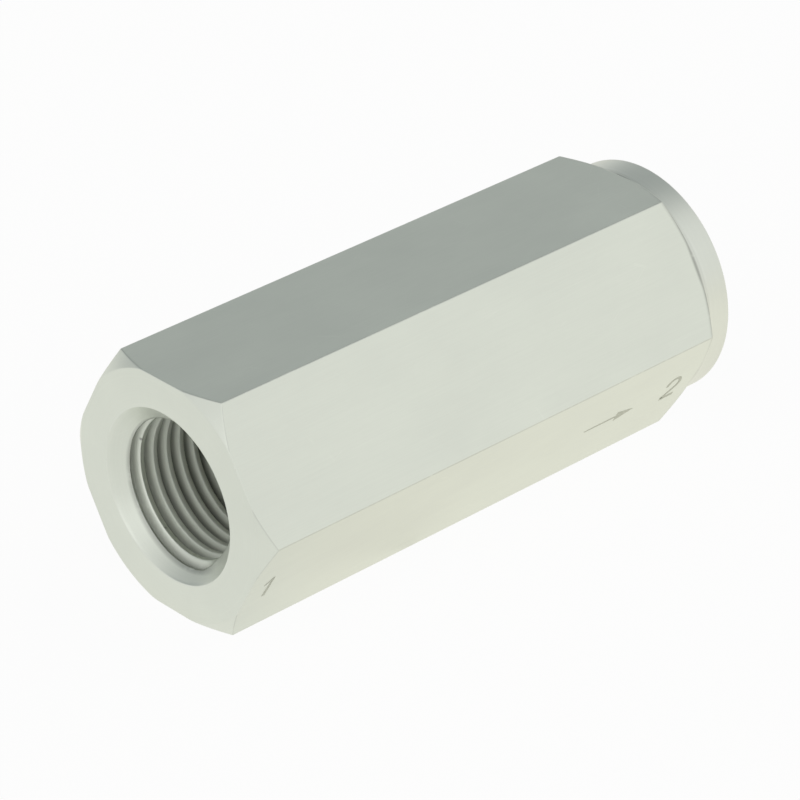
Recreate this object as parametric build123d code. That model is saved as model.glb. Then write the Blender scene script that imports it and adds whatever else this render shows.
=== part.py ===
"""In-line non-return valve for compressed air, with a female thread at each end.

The body is hexagon bar. Its inlet end (port 1) is tapped, and behind the tapped hole a throat
ends in a raised seat rim at the bottom of a chamber. A poppet closes on that rim from the
downstream side. A slotted screw clamps a flat seal disc to the poppet's head, and the poppet's
stem slides in the hub of a guide. The guide's ring lies on a shoulder in the body and is held
there by the outlet cap (port 2), which screws in and has a sealing ring under its round flange.
A coil spring between the guide and the poppet shuts the valve.

X runs along the bore, from port 1 to port 2. Two of the flats are horizontal, as the valve lies.
Stations are measured from the face of port 1, and every piece is moved at the end so that the
origin is on the bore axis, halfway along. Lengths are in millimetres, angles in degrees.
"""

import math
import os

from build123d import *

# Hexagon bar and its turned end faces, whose circle reaches a little past the flats
across_flats = 20.64
body_length = 49.1
end_face_overhang = 0.18
end_chamfer_angle = 35.0

# Ports: tapping bore, its drill point and the countersunk mouth
tapping_bore = 11.8
mouth_depth = 1.5
mouth_angle = 90.0
inlet_depth = 13.0
outlet_depth = 12.0
drill_point_angle = 118.0

# Throat and seat rim
throat_step = 1.6
throat_length = 4.6
seat_rim_height = 0.6
seat_rim_width = 0.7

# Walls and steps of the body behind the rim, from the flats inwards
gland_wall = 1.02
gland_step = 0.85
gland_length = 2.0
guide_shoulder = 0.75

# Outlet cap, with its thread drawn at the tapping bore, and the ring in its gland
flange_inset = 0.12
flange_thickness = 2.7
flange_edge = 0.3
spigot_length = 13.3
spigot_wall = 1.55
cap_thread_clearance = 0.03
neck_step = 0.5
ring_clearance = 0.01
ring_play = 0.2

# Guide
guide_clearance = 0.05
guide_float = 0.1
guide_ring_thickness = 2.6
arm_count = 4
arm_width = 1.6
spring_seat_margin = 0.85
stem_clearance = 0.05

# Poppet, its seal disc and the screw that clamps the disc
lift = 3.0
stop_gap = 0.05
head_flow_gap = 1.4
head_thickness = 1.75
boss_floor = 0.55
stem_diameter = 3.0
stem_end_set_back = 0.8
seal_thickness = 1.5
seal_gap = 0.03
seal_bore_clearance = 0.05
screw_head_flow_gap = 1.0
screw_head_thickness = 1.4
screw_diameter = 2.5
screw_reach = 2.4
screw_hole_extra = 0.3
screw_clearance = 0.03
slot_width = 0.8
slot_depth = 0.8

# Spring, whose round wire is drawn with flats to keep it light
wire_diameter = 0.5
wire_flat_count = 6
spring_mean_diameter = 6.6
coil_count = 3.5
spring_play = 0.02
spring_clearance = 0.35

cutter_overrun = 1.0
overall_length = body_length + flange_thickness


def half_tan(angle):
    """Radius gained for each millimetre along a cone of this included angle."""
    return math.tan(math.radians(angle / 2))


# Radii, from the flats inwards
gland_radius = across_flats / 2 - gland_wall
cap_bore_radius = gland_radius - gland_step
neck_radius = cap_bore_radius - neck_step
window_radius = cap_bore_radius - spigot_wall
chamber_radius = cap_bore_radius - guide_shoulder
head_radius = chamber_radius - head_flow_gap
bore_radius = tapping_bore / 2
mouth_radius = bore_radius + mouth_depth * half_tan(mouth_angle)
throat_radius = bore_radius - throat_step
stem_radius = stem_diameter / 2
hub_radius = (spring_mean_diameter - wire_diameter) / 2 - spring_clearance
spring_seat_radius = (spring_mean_diameter + wire_diameter) / 2 + spring_seat_margin

# Stations along X, from the face of port 1
throat_start = inlet_depth + throat_step / half_tan(drill_point_angle)
seat = throat_start + throat_length
cap_inner_end = body_length - spigot_length
guide_back = cap_inner_end - guide_float
guide_front = guide_back - guide_ring_thickness
gland_start = body_length - gland_length
seal_front = seat + seal_gap
head_front = seal_front + seal_thickness
head_back = head_front + head_thickness
screw_hole_end = head_front + screw_reach + screw_hole_extra
boss_end = screw_hole_end + boss_floor
hub_front = boss_end + lift + stop_gap
stem_end = guide_back - stem_end_set_back


def turned(points):
    """A piece or a cut turned about the bore axis, from its half section as (station, radius)."""
    section = make_face(Polyline(*[(x, r, 0) for x, r in points], close=True))
    return revolve(section, Axis.X)


def ring(low, high, inner, outer):
    """A ring of rectangular section between two stations."""
    return turned([(low, inner), (low, outer), (high, outer), (high, inner)])


def facing_envelope(length):
    """What the lathe leaves of the bar: both end faces, and the cone that breaks its corners."""
    face_radius = across_flats / 2 + end_face_overhang
    outside = across_flats
    cone_depth = (outside - face_radius) * math.tan(math.radians(end_chamfer_angle))
    return turned(
        [
            (0, 0),
            (0, face_radius),
            (cone_depth, outside),
            (length - cone_depth, outside),
            (length, face_radius),
            (length, 0),
        ]
    )


def valve_body():
    """Hexagon body: tapped inlet, throat, seat rim, chamber, cap bore and ring gland."""
    hexagon = RegularPolygon(across_flats / 2, 6, major_radius=False)
    bar = extrude(Plane.YZ * hexagon, body_length) & facing_envelope(body_length)
    rim_radius = throat_radius + seat_rim_width
    chamber_floor = seat - seat_rim_height
    past = body_length + cutter_overrun
    passage = turned(
        [
            (-cutter_overrun, 0),
            (-cutter_overrun, mouth_radius + cutter_overrun * half_tan(mouth_angle)),
            (mouth_depth, bore_radius),
            (inlet_depth, bore_radius),
            (throat_start, throat_radius),
            (seat, throat_radius),
            (seat, rim_radius),
            (chamber_floor, rim_radius),
            (chamber_floor, chamber_radius),
            (guide_front, chamber_radius),
            (guide_front, cap_bore_radius),
            (gland_start, cap_bore_radius),
            (gland_start, gland_radius),
            (past, gland_radius),
            (past, 0),
        ]
    )
    return bar - passage


def outlet_cap():
    """Screwed cap: round flange, neck for the sealing ring, spigot and tapped outlet."""
    flange_radius = across_flats / 2 - flange_inset
    spigot_radius = cap_bore_radius - cap_thread_clearance
    bore_start = overall_length - outlet_depth
    return turned(
        [
            (cap_inner_end, window_radius),
            (cap_inner_end, spigot_radius),
            (gland_start, spigot_radius),
            (gland_start, neck_radius),
            (body_length, neck_radius),
            (body_length, flange_radius),
            (overall_length - flange_edge, flange_radius),
            (overall_length, flange_radius - flange_edge),
            (overall_length, mouth_radius),
            (overall_length - mouth_depth, bore_radius),
            (bore_start, bore_radius),
            (bore_start, window_radius),
        ]
    )


def cap_seal_ring():
    """Square-cut rubber ring under the flange, between the neck and the body's gland bore."""
    return ring(
        gland_start + ring_play,
        body_length - ring_play,
        neck_radius + ring_clearance,
        gland_radius - ring_clearance,
    )


def poppet_guide():
    """Moulded guide: outer ring, arms, and the hub with the spring's seat and the stem's bore."""
    ring_outer = cap_bore_radius - guide_clearance
    hub_bore = stem_radius + stem_clearance
    arm_inner = (hub_bore + spring_seat_radius) / 2
    arm_outer = (window_radius + ring_outer) / 2
    guide = ring(guide_front, guide_back, window_radius, ring_outer)
    guide += ring(guide_front, guide_back, hub_bore, spring_seat_radius)
    guide += ring(hub_front, guide_back, hub_bore, hub_radius)
    arm = Pos(guide_front, 0, arm_inner) * Box(
        guide_ring_thickness,
        arm_width,
        arm_outer - arm_inner,
        align=(Align.MIN, Align.CENTER, Align.MIN),
    )
    for index in range(arm_count):
        guide += Rot(360 / arm_count * (index + 0.5), 0, 0) * arm
    return guide


def poppet():
    """Turned poppet: seal head, spring boss and guide stem, drilled for the clamp screw."""
    hole_radius = screw_diameter / 2 + screw_clearance
    return turned(
        [
            (head_front, hole_radius),
            (head_front, head_radius),
            (head_back, head_radius),
            (head_back, hub_radius),
            (boss_end, hub_radius),
            (boss_end, stem_radius),
            (stem_end, stem_radius),
            (stem_end, 0),
            (screw_hole_end, 0),
            (screw_hole_end, hole_radius),
        ]
    )


def seal_disc():
    """Flat rubber disc on the front of the poppet's head, which bears on the seat rim."""
    inner = screw_diameter / 2 + seal_bore_clearance
    return ring(seal_front, head_front, inner, head_radius)


def clamp_screw():
    """Slotted screw with a wide flat head that holds the seal disc on the poppet."""
    screw_head_radius = throat_radius - screw_head_flow_gap
    shank_radius = screw_diameter / 2
    tip = seal_front - screw_head_thickness
    end = head_front + screw_reach
    screw = turned(
        [
            (tip, 0),
            (tip, screw_head_radius),
            (seal_front, screw_head_radius),
            (seal_front, shank_radius),
            (end, shank_radius),
            (end, 0),
        ]
    )
    slot = Pos(tip, 0, 0) * Box(2 * slot_depth, slot_width, 2 * throat_radius)
    return screw - slot


def return_spring():
    """Coil spring between the poppet's head and the guide, with ends ground flat."""
    low = head_back + spring_play
    high = guide_front - spring_play
    pitch = (high - low - wire_diameter) / coil_count
    overrun = pitch / 2
    path = Helix(pitch, high - low + 2 * overrun, spring_mean_diameter / 2)
    across_wire = Plane(origin=path @ 0, z_dir=path % 0)
    wire = across_wire * RegularPolygon(wire_diameter / 2, wire_flat_count)
    coil = sweep(wire, path=path, is_frenet=True)
    coil = Pos(low - overrun, 0, 0) * Rot(0, 90, 0) * coil
    return coil & ring(low, high, 0, spring_mean_diameter)


pieces = {
    "valve_body": valve_body,
    "outlet_cap": outlet_cap,
    "cap_seal_ring": cap_seal_ring,
    "poppet_guide": poppet_guide,
    "poppet": poppet,
    "seal_disc": seal_disc,
    "clamp_screw": clamp_screw,
    "return_spring": return_spring,
}

os.makedirs("parts", exist_ok=True)
for name, make in pieces.items():
    piece = Pos(-overall_length / 2, 0, 0) * make()
    export_step(piece, f"parts/{name}.step")
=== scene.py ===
"""Looks of an in-line non-return valve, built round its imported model.

Every mesh is worked out in millimetres, by station along the bore from the face of port 1 and by
distance from the bore axis, and put into metres in the part's frame when its object is made.
"""

import math

import bpy
import numpy as np
from mathutils import Matrix, Vector


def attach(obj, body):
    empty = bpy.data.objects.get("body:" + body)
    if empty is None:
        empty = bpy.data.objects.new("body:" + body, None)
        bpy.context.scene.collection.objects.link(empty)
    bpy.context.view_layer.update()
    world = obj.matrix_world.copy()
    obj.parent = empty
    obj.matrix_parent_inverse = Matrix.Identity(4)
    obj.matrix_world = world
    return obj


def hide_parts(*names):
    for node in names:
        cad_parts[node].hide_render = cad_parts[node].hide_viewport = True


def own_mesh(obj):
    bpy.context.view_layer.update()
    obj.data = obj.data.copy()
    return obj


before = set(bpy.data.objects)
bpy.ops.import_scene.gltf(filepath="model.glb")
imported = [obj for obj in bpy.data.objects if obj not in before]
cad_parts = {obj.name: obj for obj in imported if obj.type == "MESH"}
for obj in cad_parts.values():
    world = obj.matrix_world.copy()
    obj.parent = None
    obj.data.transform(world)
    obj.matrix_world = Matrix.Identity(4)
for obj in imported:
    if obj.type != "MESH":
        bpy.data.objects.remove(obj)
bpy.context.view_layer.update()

# Valve body. Drawn aluminium hexagon bar, sawn to length, faced, bored and tapped on a lathe,
# then satin finished and clear anodised. It carries every other piece and lies on one flat.
millimetre = 0.001
origin_station = 25.9
apothem = 10.32
body_length = 49.1
corner_round = 0.16
# The long corners are drawn darker, as negative wear.
long_corner_darkening = (-0.4, -0.3, -0.3)
face_circle = 10.5
facing_slope = math.tan(math.radians(35.0))
edge_break = 0.09
# Painted shade of the joint with the cap is densest on the sides, at this angle.
joint_shade_angle, joint_shade_spread, joint_shade_least = 150.0, 26.0, 0.12
columns_per_flat = 36
column_count = 6 * columns_per_flat
bore_angle = np.arange(column_count + 1) * (2 * np.pi / column_count)

tapping_radius = 5.9
mouth_radius = 7.4
thread_pitch = 1.337
thread_major_radius = 6.5785
thread_flank = math.radians(27.5)
root_round = 0.137 * thread_pitch
crest_round = 0.06
thread_root_station = 0.38
groove_start, groove_run_in = 1.22, 0.08
tap_lead_slope = 0.35
tapped_look_length = 2.2
cone_fade = 0.05
# Painted shade in the threads: its share in the grooves at the mouth, on the crests, and on the
# countersink along the groove's edge.
mouth_groove_shade = 0.65
crest_shade_share, crest_shade_spread = 0.32, 0.09
edge_shade_share, edge_shade_place, edge_shade_spread = 0.8, 0.3, 0.35
countersink_dullness = 0.28
nick_size = 0.07

throat_radius, rim_radius, chamber_radius = 4.3, 5.0, 7.7
cap_bore_radius, gland_radius = 8.45, 9.3
inlet_depth, throat_station = 13.0, 13.961
chamber_station, seat_station = 17.961, 18.561
guide_station, gland_station = 33.1, 47.1


def hexagon_outline():
    """Angle and distance from the axis of the bar's outline, one pair for each column.

    A side is a flat at the apothem. Each corner is an arc that runs on from the flat's end, so
    a point is the flat's end plus the arc's radius times the cosine and sine of the turn. The
    arcs carry a negative wear value too, which darkens them.
    """
    half_flat = (apothem - corner_round) * math.tan(math.pi / 6)
    along = np.linspace(-half_flat, half_flat, columns_per_flat - 3)
    along = np.concatenate([[-half_flat, -half_flat], along, [half_flat]])
    turn = np.zeros(columns_per_flat)
    turn[[0, 1, -1]] = np.radians([-30.0, -15.0, 15.0])
    out = apothem - corner_round + corner_round * np.cos(turn)
    across = along + corner_round * np.sin(turn)
    wear_and_shade = np.zeros(columns_per_flat)
    wear_and_shade[[0, 1, -1]] = long_corner_darkening
    radius = np.tile(np.hypot(out, across), 6)
    side = np.repeat(np.arange(6) * (math.pi / 3) + math.pi / 6, columns_per_flat)
    angle = side + np.tile(np.arctan2(across, out), 6)
    wear_and_shade = np.tile(wear_and_shade, 6)
    angle = np.append(angle, angle[0] + 2 * np.pi)
    return angle, np.append(radius, radius[0]), np.append(wear_and_shade, wear_and_shade[0])


def softened(corners, radius):
    """Half section (station, distance) with each inner corner rounded, and a wear value.

    A corner becomes a curve between two points on its sides: (1-t)^2 start + 2t(1-t) corner +
    t^2 end. The points lie one radius back, or nearly half the side where it is short. Wear is
    0.3 at the middle of the curve and falls in a straight line to nothing at its ends.
    """
    points = np.array(corners, float)
    step = points[1:] - points[:-1]
    length = np.hypot(step[:, 0], step[:, 1])
    unit = step / length[:, None]
    back = np.minimum(radius, 0.45 * np.minimum(length[:-1], length[1:]))[:, None, None]
    t = np.array([0.0, 0.2, 0.5, 0.8, 1.0])[None, :, None]
    corner = points[1:-1, None, :]
    start, end = corner - unit[:-1, None, :] * back, corner + unit[1:, None, :] * back
    curve = (1 - t) ** 2 * start + 2 * t * (1 - t) * corner + t**2 * end
    wear_and_shade = np.broadcast_to(0.3 - 0.3 * np.abs(2 * t - 1), curve.shape[:2] + (1,))
    rows = np.concatenate([curve, wear_and_shade], axis=2).reshape(-1, 3)
    ends = np.append(points[[0, -1]], [[0.0], [0.0]], axis=1)
    return np.concatenate([ends[:1], rows, ends[1:]])


def turned_grid(section):
    """Grid of a half section carried round the axis: (station, r cos a, r sin a), turned, wear."""
    station, radius, wear_and_shade = (np.repeat(part[:, None], column_count + 1, 1) for part in section.T)
    y, z = radius * np.cos(bore_angle), radius * np.sin(bore_angle)
    return np.stack([station, y, z, np.ones_like(y), wear_and_shade], axis=2)


def bar_end_grid(face_station, inward, end_corner_darkening, joint_shade, darkening_width):
    """Grid of one end of the bar, from the end face over the corner cone to the flats.

    At each column the sharp line runs out along the face to the face circle or the flat, then
    along the cone to the flat, then along the flat. A point of the grid is the mean of that
    line over a short length to both sides, which rounds whatever corners lie there. Darkening
    falls off in a straight line from the flat's end. At the end that meets the cap it holds
    painted shade of the joint, densest at one angle and falling off as exp(-square of the angle from
    there).
    """
    angle, radius, outline_darkening = hexagon_outline()
    face_edge = np.minimum(radius, face_circle)
    cone_depth = (radius - face_edge) * facing_slope
    cone_length = np.hypot(cone_depth, radius - face_edge)
    steps = edge_break * np.array([-1.0, -0.5, 0.0, 0.5, 1.0, 2.2, 3.4])[:, None]
    along = np.sort(np.concatenate([steps[:5] + 0 * cone_length, steps + cone_length]), axis=0)
    window = edge_break * np.linspace(-1, 1, 9)
    place = along[:, :, None] + window
    share = np.clip(place / np.maximum(cone_length, 1e-9)[:, None], 0, 1)
    depth = share * cone_depth[:, None] + np.maximum(place - cone_length[:, None], 0)
    out = np.minimum(place, 0) + face_edge[:, None] + share * (radius - face_edge)[:, None]
    depth, out = depth.mean(axis=2), out.mean(axis=2)
    near = np.clip(1 - np.abs(along - cone_length) / darkening_width, 0, 1)
    bell = np.exp(-(((np.degrees(angle) - joint_shade_angle) / joint_shade_spread) ** 2))
    angled_joint_shade = joint_shade * (joint_shade_least + (1 - joint_shade_least) * bell)
    end_darkening = -near * (end_corner_darkening * (cone_length > edge_break) + angled_joint_shade)
    wear_and_shade = np.minimum(np.where(along > cone_length + edge_break / 2, outline_darkening, 0.0), end_darkening)
    turned = (along < cone_length).astype(float)
    station = face_station + inward * depth
    return np.stack([station, out * np.cos(angle), out * np.sin(angle), turned, wear_and_shade], axis=2)


def tapped_wall(low, high, start, mouth_station, mouth_side, end_station, nicks):
    """Grid of a right-hand internal thread between two plain circles.

    Rows follow the helix: station = start + pitch (turn + angle / full circle) + offset. The
    radius is the rounded-root thread form at that offset. Its crest is what the tapping drill
    left, rounded by tapping + (rise + root of (rise^2 + round^2)) / 2. The countersink opens it
    at the mouth. The groove gains its depth over a short arc where its root passes the start
    distance, and the tap's lead closes it at the end. Stations are held between the two
    circles, so the rows that would pass them fall together there. Painted shade, as negative
    wear, grows with the depth share to the power 2.5, and on the crests and, on the countersink,
    at the groove's edge it falls off as exp(-square of the distance). The painted shade and the
    tapped look gather over the first two turns. Nicks are (angle, station, wear), spread as
    exp(-square of distance over size).
    """
    root_apex = thread_major_radius + root_round * (1 / math.sin(thread_flank) - 1)
    tangent = root_round * math.cos(thread_flank)
    crest = (root_apex - tapping_radius) * math.tan(thread_flank)
    near_crest = crest + np.array([-0.09, -0.03, 0.02, 0.07])
    offset = np.array([0.0, tangent * 0.5, tangent, (tangent + crest) / 2, *near_crest, thread_pitch / 2])
    offset = np.concatenate([-offset[:0:-1], offset])[1:]
    arc = thread_major_radius - root_round + np.sqrt(np.maximum(root_round**2 - offset**2, 0))
    form = np.where(np.abs(offset) < tangent, arc, root_apex - np.abs(offset) / math.tan(thread_flank))
    rise = form - tapping_radius
    form = tapping_radius + (rise + np.sqrt(rise**2 + crest_round**2)) / 2
    turns = int((high - low) / thread_pitch) + 3
    turn = np.repeat(np.arange(turns), offset.size)
    first = low - (low - start) % thread_pitch - thread_pitch
    root = (first + thread_pitch * turn)[:, None] + thread_pitch * bore_angle / (2 * np.pi)
    station = np.clip(root + np.tile(offset, turns)[:, None], low, high)
    thread = np.tile(form, turns)[:, None]
    distance = mouth_side * (station - mouth_station)
    mouth = mouth_radius - distance
    begun = np.clip((mouth_side * (root - mouth_station) - groove_start) / groove_run_in, 0, 1)
    lead = tapping_radius + tap_lead_slope * mouth_side * (end_station - station)
    groove = np.minimum(tapping_radius + (thread - tapping_radius) * begun, lead)
    radius = np.maximum(np.maximum(groove, tapping_radius), mouth)
    y, z = radius * np.cos(bore_angle), radius * np.sin(bore_angle)
    depth = np.clip((groove - tapping_radius) / (thread_major_radius - tapping_radius), 0, 1)
    past_cone = np.clip((radius - mouth) / cone_fade, 0, 1)
    behind = np.clip((distance - mouth_radius + tapping_radius) / tapped_look_length, 0, 1)
    # Painted shade: the grooves darken with depth, the crests darken deeper in the bore, and the
    # countersink darkens along the groove's edge.
    crest_shade = crest_shade_share * behind * np.exp(-((depth / crest_shade_spread) ** 2))
    groove_shade = (mouth_groove_shade + (1 - mouth_groove_shade) * behind) * depth**2.5 + crest_shade
    off_edge = (np.abs(station - root) - edge_shade_place) / edge_shade_spread
    edge_shade = edge_shade_share * begun * np.exp(-(off_edge**2))
    wear_and_shade = -np.where(mouth > groove, edge_shade, past_cone * groove_shade)
    turned = 1.0 + np.maximum(np.maximum(behind, past_cone * depth), countersink_dullness)
    for nick_angle, nick_station, nick_wear in nicks:
        off_angle = (bore_angle - math.radians(nick_angle) + np.pi) % (2 * np.pi) - np.pi
        off_nick = np.hypot(off_angle * tapping_radius, station - nick_station)
        wear_and_shade = wear_and_shade + nick_wear * np.exp(-((off_nick / nick_size) ** 2))
    return np.stack([station, y, z, turned, wear_and_shade], axis=2)


def make_piece(name, grids, material, body, replaced):
    """One closed mesh from grids whose edges meet: points that fall together are welded.

    A grid's face is (row, column), (row, column+1), (row+1, column+1), (row+1, column). A
    vertex normal is the sum of its faces' normals times their areas, so flats stay flat.
    """
    corners, points, count = [], [], 0
    for grid in grids:
        rows, columns = grid.shape[:2]
        index = count + np.arange(rows * columns).reshape(rows, columns)
        quad = np.stack([index[:-1, :-1], index[:-1, 1:], index[1:, 1:], index[1:, :-1]], axis=2)
        corners.append(quad.reshape(-1, 4))
        points.append(grid.reshape(-1, grid.shape[2]))
        count += rows * columns
    corners, points = np.concatenate(corners), np.concatenate(points)
    keys = np.round(points[:, :3] * 1e5).astype(np.int64)
    _, kept, place = np.unique(keys, axis=0, return_index=True, return_inverse=True)
    points, corners = points[kept], place.reshape(-1)[corners]
    same = corners == np.roll(corners, -1, axis=1)
    quads, wedge = corners[~same.any(axis=1)], same.sum(axis=1) == 1
    triangles = corners[wedge][~same[wedge]].reshape(-1, 3)
    place_in_frame = (points[:, :3] - [origin_station, 0, 0]) * millimetre
    a = place_in_frame[quads[:, 2]] - place_in_frame[quads[:, 0]]
    b = place_in_frame[quads[:, 3]] - place_in_frame[quads[:, 1]]
    area_q = np.cross(a, b) / 2
    c = place_in_frame[triangles]
    area_t = np.cross(c[:, 1] - c[:, 0], c[:, 2] - c[:, 0]) / 2
    middle = place_in_frame[quads].mean(axis=1)
    volume = (middle * area_q).sum() + (c.mean(axis=1) * area_t).sum()
    if volume < 0:
        quads, triangles, area_q, area_t = quads[:, ::-1], triangles[:, ::-1], -area_q, -area_t
    normal = np.zeros_like(place_in_frame)
    for k in range(4):
        np.add.at(normal, quads[:, k], area_q)
    for k in range(3):
        np.add.at(normal, triangles[:, k], area_t)
    normal /= np.maximum(np.linalg.norm(normal, axis=1), 1e-20)[:, None]
    mesh = bpy.data.meshes.new(name)
    mesh.from_pydata(place_in_frame.tolist(), [], quads.tolist() + triangles.tolist())
    for column, attribute in ((3, "turned"), (4, "wear_and_shade")):
        layer = mesh.attributes.new(attribute, "FLOAT", "POINT")
        layer.data.foreach_set("value", points[:, column].astype(np.float32))
    mesh.polygons.foreach_set("use_smooth", np.ones(len(mesh.polygons), bool))
    mesh.normals_split_custom_set_from_vertices(normal.tolist())
    mesh.materials.append(material)
    piece = bpy.data.objects.new(name, mesh)
    bpy.context.scene.collection.objects.link(piece)
    if replaced:
        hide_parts(replaced)
    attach(piece, body)
    return piece


def add_node(tree, kind, **values):
    """A node of that kind, with the given settings and unlinked inputs.

    A Mix node takes numbers at its sockets 2 and 3, and colours at 6 and 7, which A and B set.
    """
    node = tree.nodes.new(kind)
    for key, value in values.items():
        if hasattr(node, key):
            setattr(node, key, value)
        elif key in ("A", "B"):
            node.inputs["AB".index(key) + 6].default_value = value
        else:
            node.inputs[key.replace("_", " ")].default_value = value
    return node


def metal_group():
    """Colour, roughness, height and metal share of worked metal, varying over the surface.

    Grain is noise stretched along the bar. Turning is noise read by (station, distance from
    the axis), so it makes rings. The piece's turned value picks between the two, and past 1 it
    is the torn, duller surface of a tapped thread. Wear is the positive part of the piece's
    edge value, broken by noise; its negative part darkens, patchy by noise, and is painted
    shade in the threads and at the body's joint with the cap, and darker corners of the bar.
    Scratches are thin cell borders, thinned by noise.
    """
    tree = bpy.data.node_groups.new("Worked metal surface", "ShaderNodeTree")
    face = tree.interface
    for name in ("Tint", "Worn tint"):
        face.new_socket(name, in_out="INPUT", socket_type="NodeSocketColor")
    for name in ("Roughness", "Grain", "Scratches", "Turning", "Turned gloss"):
        face.new_socket(name, in_out="INPUT", socket_type="NodeSocketFloat")
    face.new_socket("Colour", in_out="OUTPUT", socket_type="NodeSocketColor")
    for name in ("Surface roughness", "Height", "Metal share"):
        face.new_socket(name, in_out="OUTPUT", socket_type="NodeSocketFloat")
    plain_tone, cloud_tone, texture_tone, scratch_tone = 0.94, 0.12, 0.05, 0.05
    # Darkening from negative wear, deeper on tapped surfaces, where it is painted shade in the threads.
    darkening_tone, tapped_shade_tone = 0.42, 0.26
    cloud_roughness, worn_gloss, tapped_roughness, tapped_plainness = 0.12, 0.14, 0.3, 0.5
    texture_height, speck_height, scratch_height = 0.7, 0.35, 0.6
    link = tree.links.new
    given, given_out = add_node(tree, "NodeGroupInput"), add_node(tree, "NodeGroupOutput")
    place = add_node(tree, "ShaderNodeTexCoord").outputs["Object"]
    turned = add_node(tree, "ShaderNodeAttribute", attribute_name="turned").outputs["Fac"]
    wear_and_shade = add_node(tree, "ShaderNodeAttribute", attribute_name="wear_and_shade").outputs["Fac"]

    def math_of(operation, first, second=None, clamp=False):
        """The result of one sum on sockets or numbers, held between 0 and 1 if clamped."""
        node = add_node(tree, "ShaderNodeMath", operation=operation, use_clamp=clamp)
        for socket, value in zip(node.inputs, (first, second)):
            if value is None:
                continue
            if isinstance(value, (int, float)):
                socket.default_value = value
            else:
                link(value, socket)
        return node.outputs[0]

    def noise_of(vector, scale, detail, rough=0.5):
        """Noise read at a place, whose grains are about one metre over the scale."""
        node = add_node(tree, "ShaderNodeTexNoise", Scale=scale, Detail=detail, Roughness=rough)
        link(vector, node.inputs["Vector"])
        return node.outputs["Fac"]

    def stretched(vector, scale):
        """A place times a factor along each axis, where a small factor draws patterns out."""
        node = add_node(tree, "ShaderNodeMapping", Scale=scale)
        link(vector, node.inputs["Vector"])
        return node.outputs["Vector"]

    parts = add_node(tree, "ShaderNodeSeparateXYZ")
    link(place, parts.inputs[0])
    y_square = math_of("MULTIPLY", parts.outputs[1], parts.outputs[1])
    z_square = math_of("MULTIPLY", parts.outputs[2], parts.outputs[2])
    axis_distance = math_of("SQRT", math_of("ADD", y_square, z_square))
    ring_place = add_node(tree, "ShaderNodeCombineXYZ")
    link(parts.outputs[0], ring_place.inputs[0])
    link(axis_distance, ring_place.inputs[1])
    grain = noise_of(stretched(place, (0.02, 1.0, 1.0)), scale=9000.0, detail=3.0)
    rings = noise_of(ring_place.outputs[0], scale=7000.0, detail=2.0)
    cloud = noise_of(stretched(place, (0.6, 1.0, 1.0)), scale=170.0, detail=4.0, rough=0.6)
    speck = noise_of(place, scale=6500.0, detail=2.0)

    tapped = math_of("SUBTRACT", turned, 1.0, True)
    cut = math_of("MAXIMUM", turned, given.outputs["Turning"], True)
    picked = add_node(tree, "ShaderNodeMix", data_type="FLOAT")
    link(cut, picked.inputs["Factor"])
    link(grain, picked.inputs[2])
    link(rings, picked.inputs[3])
    texture = picked.outputs[0]

    cells = add_node(tree, "ShaderNodeTexVoronoi", feature="DISTANCE_TO_EDGE", Scale=260.0)
    bent = add_node(tree, "ShaderNodeMapping", Scale=(0.35, 1.0, 1.0), Rotation=(0.3, 0.5, 0.9))
    link(place, bent.inputs["Vector"])
    link(bent.outputs["Vector"], cells.inputs["Vector"])
    line = math_of("SUBTRACT", 1.0, math_of("MULTIPLY", cells.outputs["Distance"], 130.0), True)
    sparse = math_of("MULTIPLY", math_of("SUBTRACT", noise_of(place, 420.0, 2.0), 0.56), 14.0, True)
    scratch = math_of("MULTIPLY", math_of("MULTIPLY", line, sparse), given.outputs["Scratches"])

    broken = math_of("MULTIPLY", math_of("SUBTRACT", noise_of(place, 900.0, 3.0), 0.32), 4.0, True)
    worn = math_of("MULTIPLY", wear_and_shade, broken, True)
    patchy = math_of("MAXIMUM", math_of("ADD", broken, 0.5, True), tapped)
    darkened = math_of("MULTIPLY", math_of("MULTIPLY", wear_and_shade, -1.0, True), patchy, True)
    bright = add_node(tree, "ShaderNodeMix", data_type="RGBA")
    link(worn, bright.inputs["Factor"])
    link(given.outputs["Tint"], bright.inputs[6])
    link(given.outputs["Worn tint"], bright.inputs[7])
    shade = math_of("ADD", plain_tone, math_of("MULTIPLY", cloud, cloud_tone))
    textured = math_of("MULTIPLY", math_of("SUBTRACT", texture, 0.5), texture_tone)
    shade = math_of("ADD", shade, textured)
    shade = math_of("ADD", shade, math_of("MULTIPLY", scratch, scratch_tone))
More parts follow.
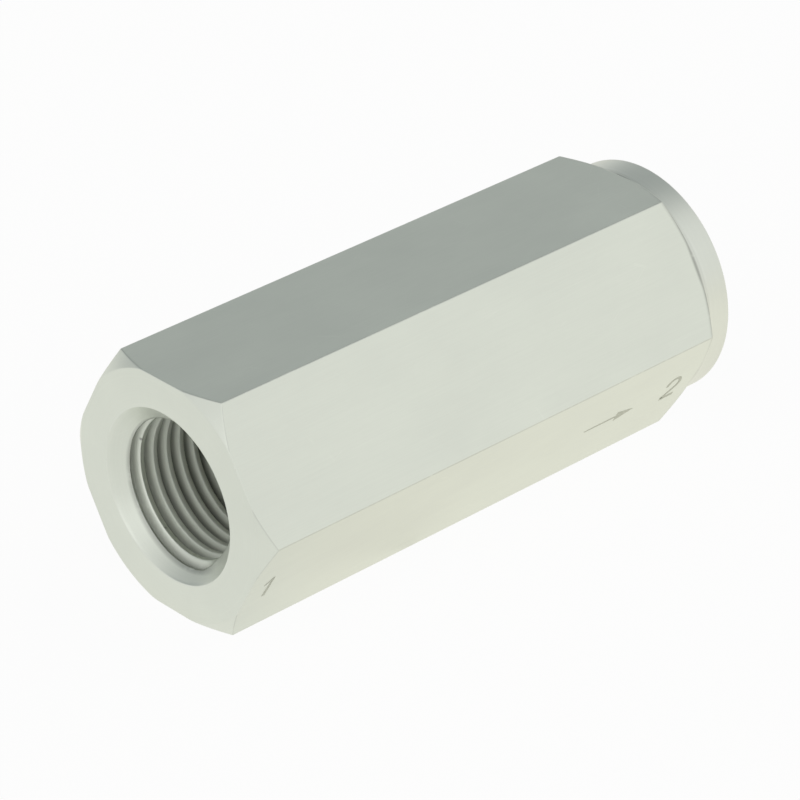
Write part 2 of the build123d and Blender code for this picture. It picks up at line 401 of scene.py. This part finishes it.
    # Negative wear darkens the colour: painted shade in the threads and the joint, and darker corners.
    darkening_depth = math_of("ADD", darkening_tone, math_of("MULTIPLY", tapped, tapped_shade_tone))
    shade = math_of("SUBTRACT", shade, math_of("MULTIPLY", darkened, darkening_depth))
    toned = add_node(tree, "ShaderNodeVectorMath", operation="SCALE")
    link(bright.outputs[2], toned.inputs[0])
    link(shade, toned.inputs["Scale"])
    link(toned.outputs[0], given_out.inputs["Colour"])
    clouded = math_of("MULTIPLY", math_of("SUBTRACT", cloud, 0.5), cloud_roughness)
    rough = math_of("ADD", given.outputs["Roughness"], clouded)
    rough = math_of("SUBTRACT", rough, math_of("MULTIPLY", worn, worn_gloss), True)
    rough = math_of("SUBTRACT", rough, math_of("MULTIPLY", cut, given.outputs["Turned gloss"]), True)
    rough = math_of("ADD", rough, math_of("MULTIPLY", tapped, tapped_roughness))
    link(rough, given_out.inputs["Surface roughness"])
    metal_share = math_of("SUBTRACT", 1.0, math_of("MULTIPLY", tapped, tapped_plainness))
    link(metal_share, given_out.inputs["Metal share"])
    fine = math_of("MULTIPLY", speck, speck_height)
    height = math_of("ADD", math_of("MULTIPLY", texture, texture_height), fine)
    height = math_of("MULTIPLY", height, given.outputs["Grain"])
    height = math_of("SUBTRACT", height, math_of("MULTIPLY", scratch, scratch_height))
    link(height, given_out.inputs["Height"])
    return tree


worked_metal = metal_group()


def new_material(name):
    """A new material with its node tree and its shader."""
    material = bpy.data.materials.new(name)
    material.use_nodes = True
    return material, material.node_tree, material.node_tree.nodes["Principled BSDF"]


def metal(name, tint, worn_tint, roughness, grain, scratches, turning=0.0, turned_gloss=0.12):
    """The worked metal surface on a metallic shader, with its height as bump."""
    material, tree, shader = new_material(name)
    surface = add_node(
        tree,
        "ShaderNodeGroup",
        node_tree=worked_metal,
        Tint=(*tint, 1),
        Worn_tint=(*worn_tint, 1),
        Roughness=roughness,
        Grain=grain,
        Scratches=scratches,
        Turning=turning,
        Turned_gloss=turned_gloss,
    )
    bump = add_node(tree, "ShaderNodeBump", Strength=0.35, Distance=0.00001)
    tree.links.new(surface.outputs["Colour"], shader.inputs["Base Color"])
    tree.links.new(surface.outputs["Surface roughness"], shader.inputs["Roughness"])
    tree.links.new(surface.outputs["Metal share"], shader.inputs["Metallic"])
    tree.links.new(surface.outputs["Height"], bump.inputs["Height"])
    tree.links.new(bump.outputs["Normal"], shader.inputs["Normal"])
    return material


bar_aluminium = metal(
    "Bar aluminium", (0.76, 0.795, 0.715), (0.82, 0.84, 0.79), roughness=0.46, grain=1.0, scratches=0.6
)
wall_start, wall_end = 0.15, 12.9
front_join_radius, back_join_radius = 9.0, 9.9
inlet_corners = [(wall_start, mouth_radius - wall_start), (0.0, mouth_radius), (0.0, front_join_radius)]
inlet_section = softened(inlet_corners, edge_break)
passage_corners = [
    (body_length, back_join_radius),
    (body_length, gland_radius),
    (gland_station, gland_radius),
    (gland_station, cap_bore_radius),
    (guide_station, cap_bore_radius),
    (guide_station, chamber_radius),
    (chamber_station, chamber_radius),
    (chamber_station, rim_radius),
    (seat_station, rim_radius),
    (seat_station, throat_radius),
    (throat_station, throat_radius),
    (inlet_depth, tapping_radius),
    (wall_end, tapping_radius),
]
skin = np.concatenate(
    [
        turned_grid(inlet_section),
        # The port 1 end is darker along the edge between its cone and the flats.
        bar_end_grid(0.0, 1.0, end_corner_darkening=0.35, joint_shade=0.0, darkening_width=0.09),
        # The end that meets the cap: a darker edge and painted shade of the joint.
        bar_end_grid(body_length, -1.0, end_corner_darkening=0.1, joint_shade=1.4, darkening_width=0.26)[::-1],
        turned_grid(softened(passage_corners, radius=0.08)),
    ]
)
crest_nicks = [(18.3, 2.23, -2.0), (301.7, 2.1, -2.0), (290.0, 1.98, 2.0)]
inlet_wall = tapped_wall(
    wall_start,
    wall_end,
    thread_root_station,
    mouth_station=0.0,
    mouth_side=1.0,
    end_station=12.4,
    nicks=crest_nicks,
)
make_piece(
    "valve_body_piece", [skin, inlet_wall[::-1]], bar_aluminium, "housing", "valve_body"
)

# Marks on the flat that faces the camera. The port numbers and the flow arrow between them are
# burned into the anodised skin by a laser, which leaves it a flat olive grey.
marked_flat_turn = math.radians(210.0)
mark_height = 0.012


def stroke_grid(path, width):
    """Closed flat stroke along a path on the marked flat.

    Path points are (station, millimetres down from the flat's upper edge, width factor). A row
    is the path point plus or minus half the width along the path's normal, at the flat and a
    little above it, and the last rows fall together at both ends.
    """
    points = np.array(path, float)
    along = np.gradient(points[:, :2], axis=0)
    along /= np.linalg.norm(along, axis=1)[:, None]
    side = np.stack([-along[:, 1], along[:, 0]], axis=1) * (points[:, 2:] * width / 2)
    left, right = points[:, :2] + side, points[:, :2] - side
    tips = np.repeat(points[[0, -1], None, :2], 5, axis=1)
    flat = np.stack([left, right, right, left, left], axis=1)
    flat = np.concatenate([tips[:1], flat, tips[1:]])
    lift = np.tile([mark_height, mark_height, -mark_height, -mark_height, mark_height], (len(flat), 1))
    lift[[0, -1]] = 0.0
    outward = np.array([math.cos(marked_flat_turn), math.sin(marked_flat_turn)])
    down = np.array([-outward[1], outward[0]])
    upper = apothem * outward - down * apothem * math.tan(math.pi / 6)
    across = upper + flat[:, :, 1:] * down + lift[:, :, None] * outward
    extra = np.zeros(flat.shape[:2] + (2,))
    return np.concatenate([flat[:, :, :1], across, extra], axis=2)


def arc_path(middle, radii, start, end, count):
    """Points on an ellipse between two angles in degrees: middle + radii (cos a, -sin a)."""
    angle = np.radians(np.linspace(start, end, count))
    station = middle[0] + radii[0] * np.cos(angle)
    down = middle[1] - radii[1] * np.sin(angle)
    return np.stack([station, down, np.ones(count)], axis=1)


def add_ramp(tree, *stops):
    """A colour ramp node with (position, colour) stops, the first and last of them its ends."""
    node = add_node(tree, "ShaderNodeValToRGB")
    elements = node.color_ramp.elements
    for element, (position, colour) in zip(elements, (stops[0], stops[-1])):
        element.position = position
        element.color = (*colour, 1)
    for position, colour in stops[1:-1]:
        elements.new(position).color = (*colour, 1)
    return node


def laser_grey():
    """Laser-burned anodising: olive grey with the close dots that the beam leaves."""
    material, tree, shader = new_material("Laser mark")
    shader.inputs["Metallic"].default_value = 0.6
    place = add_node(tree, "ShaderNodeTexCoord")
    dots = add_node(tree, "ShaderNodeTexNoise", Scale=5200.0, Detail=2.0)
    ramp = add_ramp(tree, (0.3, (0.50, 0.515, 0.43)), (0.7, (0.60, 0.62, 0.53)))
    rough = add_node(tree, "ShaderNodeMapRange", To_Min=0.5, To_Max=0.75)
    tree.links.new(place.outputs["Object"], dots.inputs["Vector"])
    tree.links.new(dots.outputs["Fac"], ramp.inputs["Fac"])
    tree.links.new(dots.outputs["Fac"], rough.inputs["Value"])
    tree.links.new(ramp.outputs["Color"], shader.inputs["Base Color"])
    tree.links.new(rough.outputs["Result"], shader.inputs["Roughness"])
    return material


laser_mark = laser_grey()
figure_one = [
    stroke_grid([(2.35, 4.5, 0.6), (2.25, 5.6, 1.0), (2.12, 7.0, 1.1)], 0.27),
    stroke_grid([(2.33, 4.55, 0.7), (1.98, 5.0, 0.9), (1.6, 5.3, 0.7)], 0.2),
]
figure_two_bow = arc_path((46.42, 5.5), (0.68, 0.8), 170, -35, 12)
figure_two = [
    stroke_grid([(45.72, 5.6, 0.8), *figure_two_bow, (46.4, 6.55, 1.0), (45.7, 7.2, 1.0)], 0.34),
    stroke_grid([(45.6, 7.25, 1.0), (46.4, 7.25, 1.0), (47.2, 7.25, 1.0)], 0.34),
]
flow_arrow = [
    stroke_grid([(36.4, 6.3, 0.6), (38.0, 6.3, 1.0), (40.0, 6.3, 1.0)], 0.22),
    stroke_grid([(40.0, 6.3, 1.0), (40.7, 6.3, 0.66), (42.0, 6.3, 0.05)], 1.2),
]
marks = {"port_number_1": figure_one, "port_number_2": figure_two, "flow_arrow": flow_arrow}
for mark_name, strokes in marks.items():
    make_piece(mark_name, strokes, laser_mark, "housing", None)

# Outlet cap. Turned from the same aluminium, tapped as port 2, screwed into the body and
# tightened until its round flange stands on the end face. Only the flange shows outside.
flange_radius, neck_radius, spigot_radius, window_radius = 10.2, 7.95, 8.42, 6.9
outer_station, spigot_station, outlet_floor = 51.8, 35.8, 39.8
outlet_root_station = 40.2
cap_wall_low, cap_wall_high = 39.9, outer_station - wall_start
# Stations on the flange where the painted shade of the joint ends.
past_shade_station, joint_shade_station = body_length + 0.65, body_length + 0.3
cap_corners = [
    (cap_wall_high, mouth_radius - wall_start),
    (outer_station, mouth_radius),
    (outer_station, flange_radius),
    (past_shade_station, flange_radius),
    (joint_shade_station, flange_radius),
    (body_length, flange_radius),
    (body_length, neck_radius),
    (gland_station, neck_radius),
    (gland_station, spigot_radius),
    (spigot_station, spigot_radius),
    (spigot_station, window_radius),
    (outlet_floor, window_radius),
    (outlet_floor, tapping_radius),
    (cap_wall_low, tapping_radius),
]
cap_section = softened(cap_corners, radius=0.12)
# Painted shade of the joint: the flange darkens next to the body's end face.
collar_shade, collar_shade_width = 1.1, 0.3
off_joint = (cap_section[:, 0] - body_length) / collar_shade_width
on_collar = cap_section[:, 1] > flange_radius - 0.2
cap_section[:, 2] -= collar_shade * np.exp(-(off_joint**2)) * on_collar
outlet_wall = tapped_wall(
    cap_wall_low,
    cap_wall_high,
    outlet_root_station,
    mouth_station=outer_station,
    mouth_side=-1.0,
    end_station=40.4,
    nicks=[],
)
cap_aluminium = metal(
    "Cap aluminium",
    (0.74, 0.77, 0.70),
    (0.82, 0.84, 0.79),
    roughness=0.42,
    grain=1.2,
    scratches=0.3,
    turned_gloss=0.0,
)
cap_grids = [turned_grid(cap_section), outlet_wall]
make_piece("outlet_cap_piece", cap_grids, cap_aluminium, "housing", "outlet_cap")

# Cap seal ring. Square-cut nitrile rubber, sliced from a moulded tube, lying in the gland
# between the cap's neck and the body and squeezed when the cap is tightened.
def rubber(name, shade, gloss_low, gloss_high):
    """Black rubber: moulding bloom as soft clouds in colour and roughness, fine pits as bump."""
    material, tree, shader = new_material(name)
    shader.inputs["Specular IOR Level"].default_value = 0.4
    place = add_node(tree, "ShaderNodeTexCoord")
    bloom = add_node(tree, "ShaderNodeTexNoise", Scale=260.0, Detail=4.0, Roughness=0.6)
    pits = add_node(tree, "ShaderNodeTexNoise", Scale=7000.0, Detail=3.0)
    bloomed = (2.2 * shade, 2.2 * shade, 2.3 * shade)
    tone = add_ramp(tree, (0.35, (shade, shade, shade)), (0.75, bloomed))
    rough = add_node(
        tree, "ShaderNodeMapRange", From_Min=0.3, From_Max=0.7, To_Min=gloss_low, To_Max=gloss_high
    )
    bump = add_node(tree, "ShaderNodeBump", Strength=0.4, Distance=0.00001)
    tree.links.new(place.outputs["Object"], bloom.inputs["Vector"])
    tree.links.new(place.outputs["Object"], pits.inputs["Vector"])
    tree.links.new(bloom.outputs["Fac"], tone.inputs["Fac"])
    tree.links.new(bloom.outputs["Fac"], rough.inputs["Value"])
    tree.links.new(pits.outputs["Fac"], bump.inputs["Height"])
    tree.links.new(tone.outputs["Color"], shader.inputs["Base Color"])
    tree.links.new(rough.outputs["Result"], shader.inputs["Roughness"])
    tree.links.new(bump.outputs["Normal"], shader.inputs["Normal"])
    return material


ring_middle, ring_low, ring_high = 48.1, 47.3, 48.9
ring_inner, ring_outer = 7.96, 9.29
ring_corners = [
    (ring_middle, ring_inner),
    (ring_low, ring_inner),
    (ring_low, ring_outer),
    (ring_high, ring_outer),
    (ring_high, ring_inner),
    (ring_middle, ring_inner),
]
ring_grids = [turned_grid(softened(ring_corners, radius=0.15))]
ring_rubber = rubber("Ring rubber", shade=0.012, gloss_low=0.5, gloss_high=0.68)
make_piece("cap_seal_ring_piece", ring_grids, ring_rubber, "housing", "cap_seal_ring")

# Poppet. Turned brass, with the seal's head, a boss that centres the spring and a long stem that
# slides in the guide. The head is drilled and tapped for the clamp screw.
head_radius, boss_radius, stem_radius, screw_hole_radius = 6.3, 2.7, 1.5, 1.28
disc_station, head_station, head_back = 18.591, 20.091, 21.841
screw_hole_end, boss_end, stem_end, stem_bevel = 22.791, 23.341, 34.9, 0.4
poppet_corners = [
    (screw_hole_end, 0.0),
    (screw_hole_end, screw_hole_radius),
    (head_station, screw_hole_radius),
    (head_station, head_radius),
    (head_back, head_radius),
    (head_back, boss_radius),
    (boss_end, boss_radius),
    (boss_end, stem_radius),
    (stem_end - stem_bevel, stem_radius),
    (stem_end, stem_radius - stem_bevel),
    (stem_end, 0.0),
]
poppet_grids = [turned_grid(softened(poppet_corners, radius=0.09))]
poppet_brass = metal(
    "Poppet brass", (0.78, 0.62, 0.33), (0.88, 0.76, 0.50), roughness=0.27, grain=1.5, scratches=0.3
)
make_piece("poppet_piece", poppet_grids, poppet_brass, "poppet_group", "poppet")

# Seal disc. Flat nitrile rubber washer, punched from sheet, that closes on the seat rim. The
# rim's circle stays printed in its face.
disc_bore_radius, disc_middle, printed_station = 1.3, 19.3, 18.611
seal_corners = [
    (disc_middle, disc_bore_radius),
    (disc_station, disc_bore_radius),
    (disc_station, throat_radius - 0.05),
    (printed_station, throat_radius + 0.15),
    (printed_station, rim_radius - 0.15),
    (disc_station, rim_radius + 0.05),
    (disc_station, head_radius),
    (head_station, head_radius),
    (head_station, disc_bore_radius),
    (disc_middle, disc_bore_radius),
]
seal_grids = [turned_grid(softened(seal_corners, radius=0.06))]
seal_rubber = rubber("Seal rubber", shade=0.016, gloss_low=0.55, gloss_high=0.75)
make_piece("seal_disc_piece", seal_grids, seal_rubber, "poppet_group", "seal_disc")

# Clamp screw. Turned brass with a sawn slot, screwed through the disc into the poppet. Its
# solid is shown as it is, with the same worked metal.
screw_brass = metal(
    "Screw brass",
    (0.76, 0.61, 0.34),
    (0.88, 0.76, 0.50),
    roughness=0.32,
    grain=1.2,
    scratches=0.5,
    turning=1.0,
)
screw_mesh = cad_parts["clamp_screw"].data
screw_mesh.materials.clear()
screw_mesh.materials.append(screw_brass)

# Poppet guide. Injection-moulded white acetal, its ring trapped between the body's shoulder and
# the cap. Its solid is shown as it is, with the sheen and faint flow marks of the moulding.
def moulded_white():
    """White moulded plastic: faint flow clouds in colour, sparkle of the mould in roughness."""
    material, tree, shader = new_material("Guide plastic")
    place = add_node(tree, "ShaderNodeTexCoord")
    flow = add_node(tree, "ShaderNodeTexNoise", Scale=240.0, Detail=3.0, Distortion=1.5)
    grit = add_node(tree, "ShaderNodeTexNoise", Scale=8000.0, Detail=2.0)
    tone = add_ramp(tree, (0.3, (0.72, 0.71, 0.67)), (0.7, (0.80, 0.79, 0.76)))
    rough = add_node(tree, "ShaderNodeMapRange", From_Min=0.3, From_Max=0.7, To_Min=0.3, To_Max=0.42)
    bump = add_node(tree, "ShaderNodeBump", Strength=0.3, Distance=0.00001)
    tree.links.new(place.outputs["Object"], flow.inputs["Vector"])
    tree.links.new(place.outputs["Object"], grit.inputs["Vector"])
    tree.links.new(flow.outputs["Fac"], tone.inputs["Fac"])
    tree.links.new(grit.outputs["Fac"], rough.inputs["Value"])
    tree.links.new(grit.outputs["Fac"], bump.inputs["Height"])
    tree.links.new(tone.outputs["Color"], shader.inputs["Base Color"])
    tree.links.new(rough.outputs["Result"], shader.inputs["Roughness"])
    tree.links.new(bump.outputs["Normal"], shader.inputs["Normal"])
    return material


guide_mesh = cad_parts["poppet_guide"].data
guide_mesh.materials.clear()
guide_mesh.materials.append(moulded_white())

# Return spring. Coiled from drawn stainless wire, with both end turns closed and ground flat.
# It stands on the guide, round its hub, and pushes the poppet's head towards the seat.
def coil_grid(low, high, mean_radius, wire_radius, turns):
    """Grid of a coil spring with closed, ground ends, along its wire and round it.

    The wire's middle turns on the mean circle. Its rise per turn is one wire at both ends and
    swells to the open pitch between them, as 1 + smooth step, and is summed along the wire. A
    row is the circle across the wire, cut off at the two end planes, and the wire's tips close.
    """
    rows_per_turn, closed_turns, opening_turns = 60, 0.7, 0.5
    tip, closed_pitch = 0.08, 2.04 * wire_radius
    count = int(turns * rows_per_turn)
    turn = np.linspace(0, turns, count)
    open_share = np.clip((np.minimum(turn, turns - turn) - closed_turns) / opening_turns, 0, 1)
    open_share = open_share**2 * (3 - 2 * open_share)
    total = high - low - 2 * tip
    open_pitch = (total - closed_pitch * turns) / (open_share.mean() * turns)
    rise = closed_pitch + open_pitch * open_share
    middle = np.concatenate([[0], np.cumsum((rise[1:] + rise[:-1]) / 2)]) * (turns / (count - 1))
    middle = low + tip + middle * total / middle[-1]
    lean = np.arctan2(rise, 2 * np.pi * mean_radius)[:, None]
    round_wire = np.linspace(0, 2 * np.pi, 17)[None, :]
    size = np.full((count, 1), wire_radius)
    size[[0, -1]] = 0.0
    out = size * np.cos(round_wire)
    up = size * np.sin(round_wire)
    around = 2 * np.pi * turn[:, None]
    radius = mean_radius + out
    station = np.clip(middle[:, None] + up * np.cos(lean), low, high)
    back = -up * np.sin(lean)
    y = radius * np.cos(around) - back * np.sin(around)
    z = radius * np.sin(around) + back * np.cos(around)
    wear_and_shade = 0.25 * ((station == low) | (station == high))
    return np.stack([station, y, z, np.zeros_like(y), wear_and_shade], axis=2)


spring_play, spring_mean_radius, wire_radius, spring_turns = 0.02, 3.3, 0.25, 5.5
spring_start, spring_end = head_back + spring_play, guide_station - spring_play
spring_grids = [coil_grid(spring_start, spring_end, spring_mean_radius, wire_radius, spring_turns)]
spring_steel = metal(
    "Spring steel", (0.58, 0.57, 0.55), (0.72, 0.71, 0.69), roughness=0.22, grain=0.6, scratches=0.0
)
spring = make_piece(
    "return_spring_piece", spring_grids, spring_steel, "housing", "return_spring"
)
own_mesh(spring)

# Studio. A white table that runs on into a white room, a soft lamp at the left and a grey patch of
# ceiling behind, which the upper flat mirrors. The camera stands where the photograph's did.
table_height, table_half = -apothem * millimetre, 3.0
corner_signs = ((-1, -1), (1, -1), (1, 1), (-1, 1))
table_corners = [(x * table_half, y * table_half, table_height) for x, y in corner_signs]
table_mesh = bpy.data.meshes.new("table")
table_mesh.from_pydata(table_corners, [], [(0, 1, 2, 3)])
table = bpy.data.objects.new("table", table_mesh)
bpy.context.scene.collection.objects.link(table)
table_white = bpy.data.materials.new("Table white")
table_white.use_nodes = True
tree = table_white.node_tree
tree.nodes.clear()
link = tree.links.new
ray = add_node(tree, "ShaderNodeLightPath")
paper = add_node(tree, "ShaderNodeBsdfDiffuse", Color=(0.93, 0.92, 0.89, 1))
table_place = add_node(tree, "ShaderNodeTexCoord")
split = add_node(tree, "ShaderNodeSeparateXYZ")
reach = add_node(
    tree, "ShaderNodeMapRange", interpolation_type="SMOOTHSTEP", From_Min=-0.031, From_Max=-0.012
)
depth_fade = add_node(
    tree,
    "ShaderNodeMapRange",
    interpolation_type="SMOOTHSTEP",
    From_Min=-0.13,
    From_Max=-0.03,
    To_Min=0.83,
    To_Max=1.0,
)
# Painted reflection: the table glows in the rays that the metal mirrors. The glow is warm from the middle
# of the valve on, greyer around and beyond port 1's end, and dimmer towards the camera.
glow_colour = add_node(
    tree, "ShaderNodeMix", data_type="RGBA", A=(0.862, 0.862, 0.845, 1), B=(1.0, 0.975, 0.915, 1)
)
dimmed = add_node(tree, "ShaderNodeVectorMath", operation="SCALE")
mirrored_colour = add_node(tree, "ShaderNodeMix", data_type="RGBA", A=(1, 1, 1, 1))
glow = add_node(tree, "ShaderNodeEmission", Strength=1.0)
seen = add_node(tree, "ShaderNodeMath", operation="MULTIPLY")
seen.inputs[1].default_value = 0.94
shown = add_node(tree, "ShaderNodeMath", operation="MAXIMUM")
mirrored = add_node(tree, "ShaderNodeMath", operation="MAXIMUM")
blend = add_node(tree, "ShaderNodeMixShader")
surface_out = add_node(tree, "ShaderNodeOutputMaterial")
link(ray.outputs["Is Camera Ray"], seen.inputs[0])
link(ray.outputs["Is Glossy Ray"], mirrored.inputs[0])
link(ray.outputs["Is Transmission Ray"], mirrored.inputs[1])
link(seen.outputs[0], shown.inputs[0])
link(mirrored.outputs[0], shown.inputs[1])
link(shown.outputs[0], blend.inputs["Fac"])
link(paper.outputs[0], blend.inputs[1])
link(table_place.outputs["Object"], split.inputs[0])
link(split.outputs[0], reach.inputs["Value"])
link(reach.outputs["Result"], glow_colour.inputs["Factor"])
link(split.outputs[1], depth_fade.inputs["Value"])
link(glow_colour.outputs[2], dimmed.inputs[0])
link(depth_fade.outputs["Result"], dimmed.inputs["Scale"])
link(dimmed.outputs[0], mirrored_colour.inputs[7])
link(ray.outputs["Is Glossy Ray"], mirrored_colour.inputs["Factor"])
link(mirrored_colour.outputs[2], glow.inputs["Color"])
link(glow.outputs[0], blend.inputs[2])
link(blend.outputs[0], surface_out.inputs["Surface"])
table_mesh.materials.append(table_white)

world = bpy.data.worlds.new("Studio")
bpy.context.scene.world = world
world.use_nodes = True
tree = world.node_tree
tree.nodes.clear()
link = tree.links.new
ray = add_node(tree, "ShaderNodeLightPath")
toward = add_node(tree, "ShaderNodeTexCoord").outputs["Generated"]
facing = add_node(tree, "ShaderNodeVectorMath", operation="DOT_PRODUCT")
facing.inputs[1].default_value = Vector((0.3, 0.75, 0.6)).normalized()
fade = add_node(tree, "ShaderNodeMapRange", interpolation_type="SMOOTHSTEP", From_Min=0.35, From_Max=0.78)
tilted = add_node(tree, "ShaderNodeVectorMath", operation="DOT_PRODUCT")
tilted.inputs[1].default_value = (-0.35, 0, 1)
lower_edge = add_node(
    tree, "ShaderNodeMapRange", interpolation_type="SMOOTHSTEP", From_Min=-0.08, From_Max=0.16
)
patch = add_node(tree, "ShaderNodeMath", operation="MULTIPLY")
split = add_node(tree, "ShaderNodeSeparateXYZ")
across = add_node(tree, "ShaderNodeMapRange", From_Min=-1.0, From_Max=1.0)
wall_levels = [(0.075, 0.83), (0.4, 0.93), (0.765, 0.985), (0.84, 0.86)]
walls = add_ramp(tree, *((position, (level, level, level)) for position, level in wall_levels))
shade = add_node(tree, "ShaderNodeMix", data_type="RGBA", B=(0.37, 0.395, 0.407, 1))
room = add_node(tree, "ShaderNodeBackground", Strength=1.0)
white = add_node(tree, "ShaderNodeBackground", Color=(1, 1, 1, 1), Strength=1.0)
blend = add_node(tree, "ShaderNodeMixShader")
world_out = add_node(tree, "ShaderNodeOutputWorld")
link(toward, facing.inputs[0])
link(facing.outputs["Value"], fade.inputs["Value"])
link(toward, tilted.inputs[0])
link(tilted.outputs["Value"], lower_edge.inputs["Value"])
link(fade.outputs["Result"], patch.inputs[0])
link(lower_edge.outputs["Result"], patch.inputs[1])
link(toward, split.inputs[0])
link(split.outputs[0], across.inputs["Value"])
link(across.outputs["Result"], walls.inputs["Fac"])
link(walls.outputs["Color"], shade.inputs[6])
link(patch.outputs[0], shade.inputs["Factor"])
link(shade.outputs[2], room.inputs["Color"])
link(ray.outputs["Is Camera Ray"], blend.inputs["Fac"])
link(room.outputs[0], blend.inputs[1])
link(white.outputs[0], blend.inputs[2])
link(blend.outputs[0], world_out.inputs["Surface"])

lamp_place = Vector((-0.93, -0.38, 0.48))
lamp_data = bpy.data.lights.new("left_lamp", "AREA")
lamp_data.shape = "SQUARE"
lamp_data.size = 0.75
lamp_data.energy = 0.46
lamp = bpy.data.objects.new("left_lamp", lamp_data)
lamp.location = lamp_place
lamp.rotation_euler = (-lamp_place).to_track_quat("-Z", "Y").to_euler()
bpy.context.scene.collection.objects.link(lamp)

camera_data = bpy.data.cameras.new("camera")
camera_data.sensor_width = 36.0
camera_data.lens = 179.808
camera_data.clip_start, camera_data.clip_end = 0.01, 20.0
camera = bpy.data.objects.new("camera", camera_data)
camera_place = Vector((-0.188278, -0.207358, 0.157742))
camera_azimuth, camera_dip, camera_roll = 41.9894, 29.6624, 1.2949
heading, dip = math.radians(camera_azimuth), math.radians(camera_dip)
sight = Vector((math.sin(heading) * math.cos(dip), math.cos(heading) * math.cos(dip), -math.sin(dip)))
upright = sight.to_track_quat("-Z", "Y").to_matrix()
turn = upright @ Matrix.Rotation(-math.radians(camera_roll), 3, "Z")
camera.matrix_world = Matrix.Translation(camera_place) @ turn.to_4x4()
bpy.context.scene.collection.objects.link(camera)
bpy.context.scene.camera = camera

bpy.context.scene.view_settings.view_transform = "Standard"
